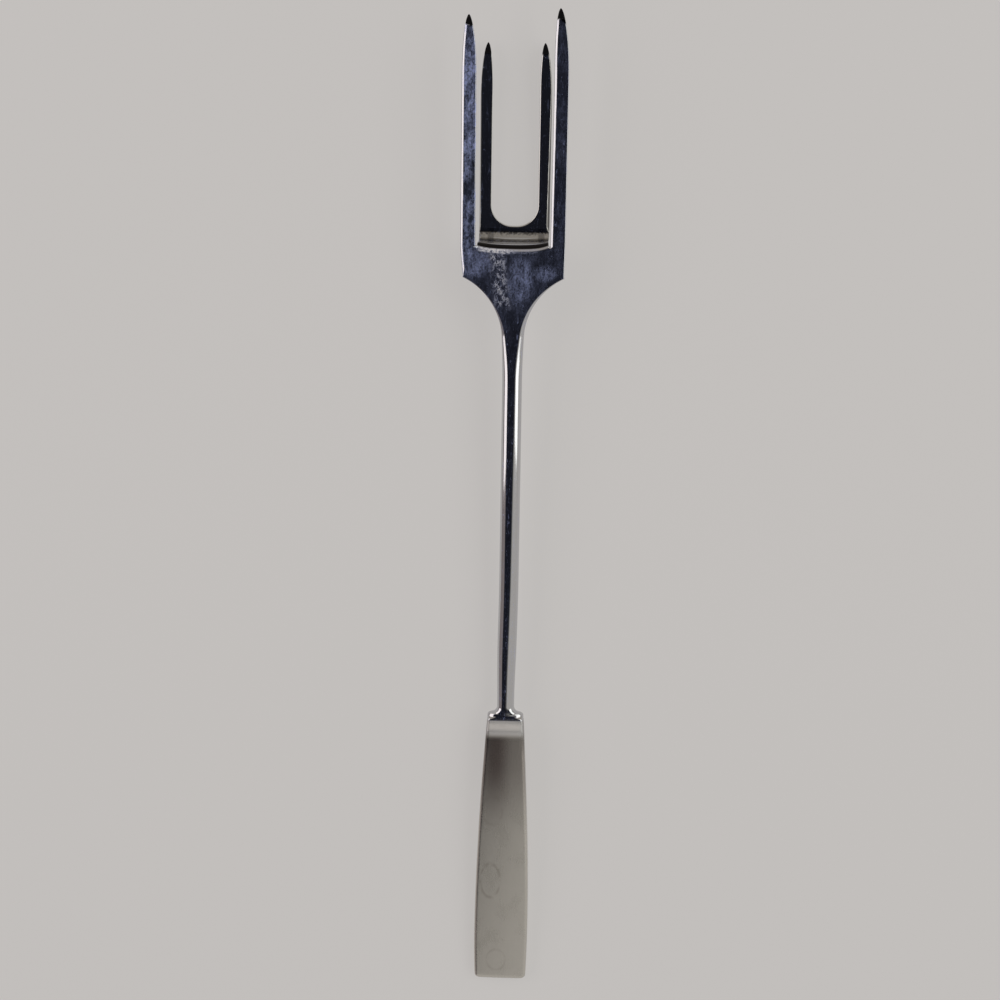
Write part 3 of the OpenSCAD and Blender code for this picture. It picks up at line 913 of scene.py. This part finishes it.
rings = drop_ring(-4.3, -219.2, 3.4, 6.3, 0.09).most(drop_ring(-3.9, -193.0, 3.4, 5.2, 0.09) * 0.7)
rings = rings.most(drop_ring(-2.0, -249.5, 3.2, 4.0, 0.10) * 0.6)
stain = rings * noise(3.0, 1.0, 0, 2, 0.5, 2.0).step(0.34, 0.60)
smudge = noise(8.0, 1.7, 15, 4, 0.6, 11.0).step(0.45, 0.75)
tip_at = mix(TINE_LEN - TINE_WEAR, TINE_LEN, X > 0.0)
tip_at = mix(tip_at, REAR_LEN, rear)
BEVEL_SLANT, LEFT_BEVEL_X, RIGHT_BEVEL_X = 0.35, -13.6, 13.3
slanted = mix(X - LEFT_BEVEL_X, X - RIGHT_BEVEL_X, X > 0.0) * BEVEL_SLANT
ragged = (noise(0.9, 1.0, 0, 2, 0.5, 31.0) - 0.5) * 2.6 + slanted
# where the bevels are painted near black, a painted dark reflection
bevel = (Y - tip_at + ragged * (1.0 - rear)).step(-BEVEL_LEN - 0.75, -BEVEL_LEN + 0.1)
on_fold = near(X, 0.0, 11.3, 0.02) * near(Y, 0.0, 3.6, 0.05)
# a darker band along the crest of the fold
crest_dark_band = near(Z, -1.12, 0.74, 0.16) * on_fold
heel_tarnish = near(X, -7.5, 1.2, 0.5).most(near(X, 8.8, 1.2, 0.5)) * Z.step(-9.5, -11.0) * on_fold
# painted shade: a dark band that fades the heel's dark side into its light side
heel_shade = (Y + (mottle - 0.5) * 0.9).step(0.9, 2.6) * Y.step(2.9, 2.6)
heel_shade = heel_shade * Z.step(-10.0, -11.2) * on_fold
shelf_tarnish = Z.step(-2.2, -3.4) * on_fold * (0.25 + 0.15 * smudge)
# painted shade on the rear tines' outer sides, where the outer tines keep the light off
rear_side_painted_shade = rear * abs(X).step(10.3, 10.5) * Z.step(-13.05, -13.3) * (0.3 + 0.45 * (X > 0.0))
print("bevels", BEVEL_LEN, "mm long")

# %% [markdown]
# Each layer is one metal shader. The lower one is nearly a perfect mirror, and its bump is only the
# slow waves left by the polishing wheel and the faint dents of the scratches. Its colour is the share
# of light that comes back. So it is dark only on tarnish, on the darker crest band, on painted shade
# in the heel and on the rear tines' outer sides, and on the bevels, which are painted as a dark
# reflection. The upper one is rougher. It is lighter or darker where the haze, the scuffs and the
# crest's painted highlight, the satin with its painted sheen, shade and dark reflection, and its
# stains say so.

# %% Colours of the steel
FRONT_STEEL, REAR_STEEL = (0.60, 0.60, 0.61), (0.61, 0.60, 0.575)
TARNISH_AND_SHADE_DARK, BEVEL_PAINTED_DARK = (0.018, 0.016, 0.016), (0.012, 0.012, 0.014)
HAZE_BLUE, SCUFF_AND_HIGHLIGHT_WHITE, SATIN_GREY = (0.50, 0.58, 0.94), (0.86, 0.86, 0.90), (0.64, 0.62, 0.575)
HANDLE_PAINTED_REFLECTION, SLOPE_PAINTED_SHEEN, RIM_SHADE_COLOUR = (0.21, 0.175, 0.165), (0.88, 0.87, 0.86), (0.10, 0.095, 0.09)
STAIN_BROWN = (0.27, 0.23, 0.19)
print("front steel", FRONT_STEEL, "satin", SATIN_GREY)

# %% The mirror layer
# tarnish, the darker crest band, and painted shade in the heel and on the rear tines' sides
tarnish_and_painted_shade = crest_dark_band.most(heel_tarnish * 0.62).most(rear_side_painted_shade).most(shelf_tarnish)
tarnish_and_painted_shade = tarnish_and_painted_shade.most(heel_shade * 0.9)
mirror_colour = blend(shader, rear, FRONT_STEEL, REAR_STEEL)
mirror_colour = blend(shader, tarnish_and_painted_shade, mirror_colour, TARNISH_AND_SHADE_DARK)
# painted dark reflection: the bevels turn a near-black mirror
mirror_colour = blend(shader, bevel, mirror_colour, BEVEL_PAINTED_DARK)
waves = noise(14.0, 1.6, 0, 2, 0.5, 1.0)
ripple = shader.add("ShaderNodeBump", None, {
    "Strength": 0.10, "Distance": 0.1 * MM, "Height": waves * (1.0 - on_fold) + marks * -0.02})
mirror = shader.add("ShaderNodeBsdfPrincipled", None, {
    "Base Color": mirror_colour, "Roughness": 0.06, "Metallic": 1.0, "Normal": ripple})
print("mirror layer ready")

# %% [markdown]
# Below the collar the satin gets a painted dark reflection, most of all a little left of the middle.
# The slope up to the collar gets a painted pale sheen, and just below it painted shade darkens both
# rims of the handle, where the skin turns to its sides. The rims are found by their distance from the
# handle's outline.

# %% The worn layer
FLARE = (HANDLE_W - COLLAR_W) / 2 / (HANDLE_LEN - HANDLE_W_AT)
# whitish where scuffed, and where the crest's highlight is painted
worn_colour = blend(shader, scuffs_and_highlight, HAZE_BLUE, SCUFF_AND_HIGHLIGHT_WHITE)
worn_colour = blend(shader, satin, worn_colour, SATIN_GREY)
# painted dark reflection on the satin below the collar
painted_dark_reflection = Y.step(-204.0, -174.0) * Y.step(-164.6, -167.4)
painted_dark_reflection = painted_dark_reflection * (0.50 + 0.46 * near(X, -3.0, 3.2, 0.9))
worn_colour = blend(shader, satin * painted_dark_reflection, worn_colour, HANDLE_PAINTED_REFLECTION)
# painted pale sheen on the slope up to the collar
worn_colour = blend(shader, satin * Y.step(-166.4, -164.6), worn_colour, SLOPE_PAINTED_SHEEN)
from_edge = (SHOULDER_Y - Y) * FLARE + COLLAR_W / 2 - abs(X)
# painted shade along both rims of the handle
rim_painted_shade = from_edge.step(1.05, 0.6) * Y.step(-174.0, -167.0)
worn_colour = blend(shader, satin * rim_painted_shade * 0.5, worn_colour, RIM_SHADE_COLOUR)
worn_colour = blend(shader, satin * (stain * 0.30 + smudge * 0.10), worn_colour, STAIN_BROWN)
on_slope = Y.step(-167.2, -165.6)
satin_roughness = 0.22 + strokes * 0.07 + smudge * 0.04 + on_slope * 0.24
worn_roughness = mix(0.52 + scuffs_and_highlight * 0.1, satin_roughness, satin)
grain = shader.add("ShaderNodeBump", None, {
    "Strength": 0.22, "Distance": 0.05 * MM, "Height": strokes * satin + scrawl * scuffs_and_highlight})
worn = shader.add("ShaderNodeBsdfPrincipled", None, {
    "Base Color": worn_colour, "Roughness": worn_roughness, "Metallic": 1.0 - scuffs_and_highlight * 0.9,
    "Normal": grain})
print("worn layer ready")

# %% [markdown]
# At each place the strongest of the worn masks wins, because a scratch through haze isn't twice as
# worn. The bevels and the darker crest band stay free of the worn layer, and the handle is covered by
# it.

# %% One steel from the two layers
wear = haze.most(scuffs_and_highlight * 0.95).most(marks * 0.35).most(specks * 0.4) * (1.0 - bevel)
wear = (wear * (1.0 - crest_dark_band)).most(satin).clamp()
surface = shader.add("ShaderNodeMixShader", None, {0: wear, 1: mirror, 2: worn})
shader.add("ShaderNodeOutputMaterial", None, {"Surface": surface})
print("steel:", len(steel.node_tree.nodes), "nodes")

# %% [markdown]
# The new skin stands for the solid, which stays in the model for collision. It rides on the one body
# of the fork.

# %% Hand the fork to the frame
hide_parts("carving_fork")
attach(fork, "root")
print("the fork rides on root")

# %% [markdown]
# ## Floor, light and camera
#
# Polished steel has no look of its own: it shows the room. The faces of this fork look black
# because a dark area hangs overhead, and its edges look white because they turn to the lights on
# both sides. So the room is built from what each slope of the steel should show. A direction is
# given by two angles from straight up: across, to the left or right, and lean, towards the tips or
# the handle.
#
# The floor is plain pale paper. Seen from the camera or in the steel, most of its look is an even
# glow of its own colour, so the fork's shadow on it stays as faint as under a very large light.

# %% Floor
PAPER, PAPER_GLOW, GLOW_SHARE = (0.82, 0.80, 0.785), (0.578, 0.560, 0.547), 0.72
FLOOR_HALF = 6
corners = [(-FLOOR_HALF, -FLOOR_HALF, 0), (FLOOR_HALF, -FLOOR_HALF, 0),
           (FLOOR_HALF, FLOOR_HALF, 0), (-FLOOR_HALF, FLOOR_HALF, 0)]
floor_mesh = bpy.data.meshes.new("floor")
floor_mesh.from_pydata(corners, [], [(0, 1, 2, 3)])
floor = bpy.data.objects.new("floor", floor_mesh)
bpy.context.scene.collection.objects.link(floor)
paper = bpy.data.materials.new("floor_paper")
paper.use_nodes = True
matt = Wiring(paper.node_tree)
paper_surface = matt.add("ShaderNodeBsdfPrincipled", None, {
    "Base Color": PAPER, "Roughness": 0.9})
seen = matt.add("ShaderNodeLightPath", out="Is Camera Ray")
seen = (seen + seen.output("Is Glossy Ray")).clamp() * GLOW_SHARE
glow = matt.add("ShaderNodeEmission", None, {"Color": PAPER_GLOW, "Strength": 1.0})
evened = matt.add("ShaderNodeMixShader", None, {0: seen, 1: paper_surface, 2: glow})
matt.add("ShaderNodeOutputMaterial", None, {"Surface": evened})
floor_mesh.materials.append(paper)
print("floor", 2 * FLOOR_HALF, "m wide")

# %% [markdown]
# The room is the world's colour, worked out from the direction of a ray. Five surfaces hang round
# the fork: a wall on each side, one beyond the tips and one beyond the handle, and the dark area
# overhead. The polished head, which faces up, shows the dark one, and each broken edge another.

# %% Room
LEFT_WALL, RIGHT_WALL = (0.26, 0.225, 0.22), (0.31, 0.32, 0.28)
TIPS_WALL, HANDLE_WALL = (0.43, 0.395, 0.36), (0.52, 0.50, 0.475)
OVERHEAD_DARK = (0.011, 0.012, 0.018)
world = bpy.data.worlds.new("room")
bpy.context.scene.world = world
world.use_nodes = True
room_nodes = Wiring(world.node_tree)
direction = room_nodes.add("ShaderNodeTexCoord", out="Generated")
dx = room_nodes.add("ShaderNodeSeparateXYZ", None, {"Vector": direction}, "X")
dy, dz = dx.output("Y"), dx.output("Z")
degree = math.pi / 180
across = dx.math("ARCTAN2", dx, dz) * (1 / degree)
lean = dy.math("ARCSINE", dy) * (1 / degree)
on_right = across.step(-10, 10)
beyond_tips, beyond_handle = lean.step(9, 30), (lean - across * 0.5).step(-21, -28)
overhead = across.step(33, 27) * across.step(-42, -36) * (1.0 - beyond_tips) * (1.0 - beyond_handle)
sky = blend(room_nodes, on_right, LEFT_WALL, RIGHT_WALL)
sky = blend(room_nodes, beyond_tips, sky, TIPS_WALL)
sky = blend(room_nodes, beyond_handle, sky, HANDLE_WALL)
sky = blend(room_nodes, overhead, sky, OVERHEAD_DARK)
backdrop = room_nodes.add("ShaderNodeBackground", None, {"Color": sky, "Strength": 1.0})
room_nodes.add("ShaderNodeOutputWorld", None, {"Surface": backdrop})
print("room:", len(world.node_tree.nodes), "nodes")

# %% [markdown]
# Two long soft boxes, one at each side, draw the white lines along the tines and the round shaft.
# In polished steel a lamp is seen as a shape, so its radiance sets how bright the line is and its
# size how wide.

# %% Soft boxes
def soft_box(name, angle, distance, along, size, radiance, colour):
    """A long box at an angle across, whose light has the same radiance whatever its size."""
    lamp = bpy.data.lights.new(name, "AREA")
    lamp.shape, lamp.size, lamp.size_y = "RECTANGLE", size[0], size[1]
    lamp.energy = radiance * math.pi * size[0] * size[1]
    lamp.color = colour
    made = bpy.data.objects.new(name, lamp)
    turn = math.radians(angle)
    side, back_axis = Vector((0, 1, 0)), Vector((math.sin(turn), 0, math.cos(turn)))
    axes = Matrix((side, back_axis.cross(side), back_axis)).transposed().to_4x4()
    made.matrix_world = Matrix.Translation(back_axis * distance + side * along) @ axes
    made.visible_camera = False
    bpy.context.scene.collection.objects.link(made)
    print(name, round(lamp.energy, 2), "W")


soft_box("left_box", -55, 1.4, 0.36, (1.48, 0.84), 1.25, (1.0, 0.94, 0.94))
soft_box("right_box", 44, 1.4, 0.37, (1.46, 0.80), 1.30, (0.98, 1.0, 0.98))

# %% [markdown]
# The camera looks down on the fork from beyond its tips, with a long lens, and the handle points
# away from it, so the handle looks shorter than it is.

# %% Camera
YAW, PITCH, ROLL = math.radians(1.94), math.radians(14.80), math.radians(0.85)
AIM, DISTANCE = Vector((-2.85, -83.66, 0.0)), 655.14
FOCAL_PX, FRAME_PX, SENSOR = 2000.0, 1000, 36.0
flat_share = math.cos(PITCH)
back_axis = Vector((math.sin(YAW) * flat_share, math.sin(PITCH), math.cos(YAW) * flat_share))
right_axis = Vector((math.cos(YAW), 0.0, -math.sin(YAW)))
up_axis = back_axis.cross(right_axis)
axes = Matrix((right_axis, up_axis, back_axis)).transposed() @ Matrix.Rotation(ROLL, 3, "Z")
lens = bpy.data.cameras.new("camera")
lens.sensor_fit, lens.sensor_width, lens.lens = "HORIZONTAL", SENSOR, FOCAL_PX * SENSOR / FRAME_PX
lens.clip_start = 0.01
camera = bpy.data.objects.new("camera", lens)
placed = (Matrix.Rotation(TILT, 3, "X") @ axes).to_4x4()
placed.translation = TO_REST @ (AIM + back_axis * DISTANCE)
camera.matrix_world = placed
bpy.context.scene.collection.objects.link(camera)
bpy.context.scene.camera = camera
bpy.context.scene.view_settings.view_transform = "Standard"
print("camera at", [round(c, 3) for c in placed.translation])
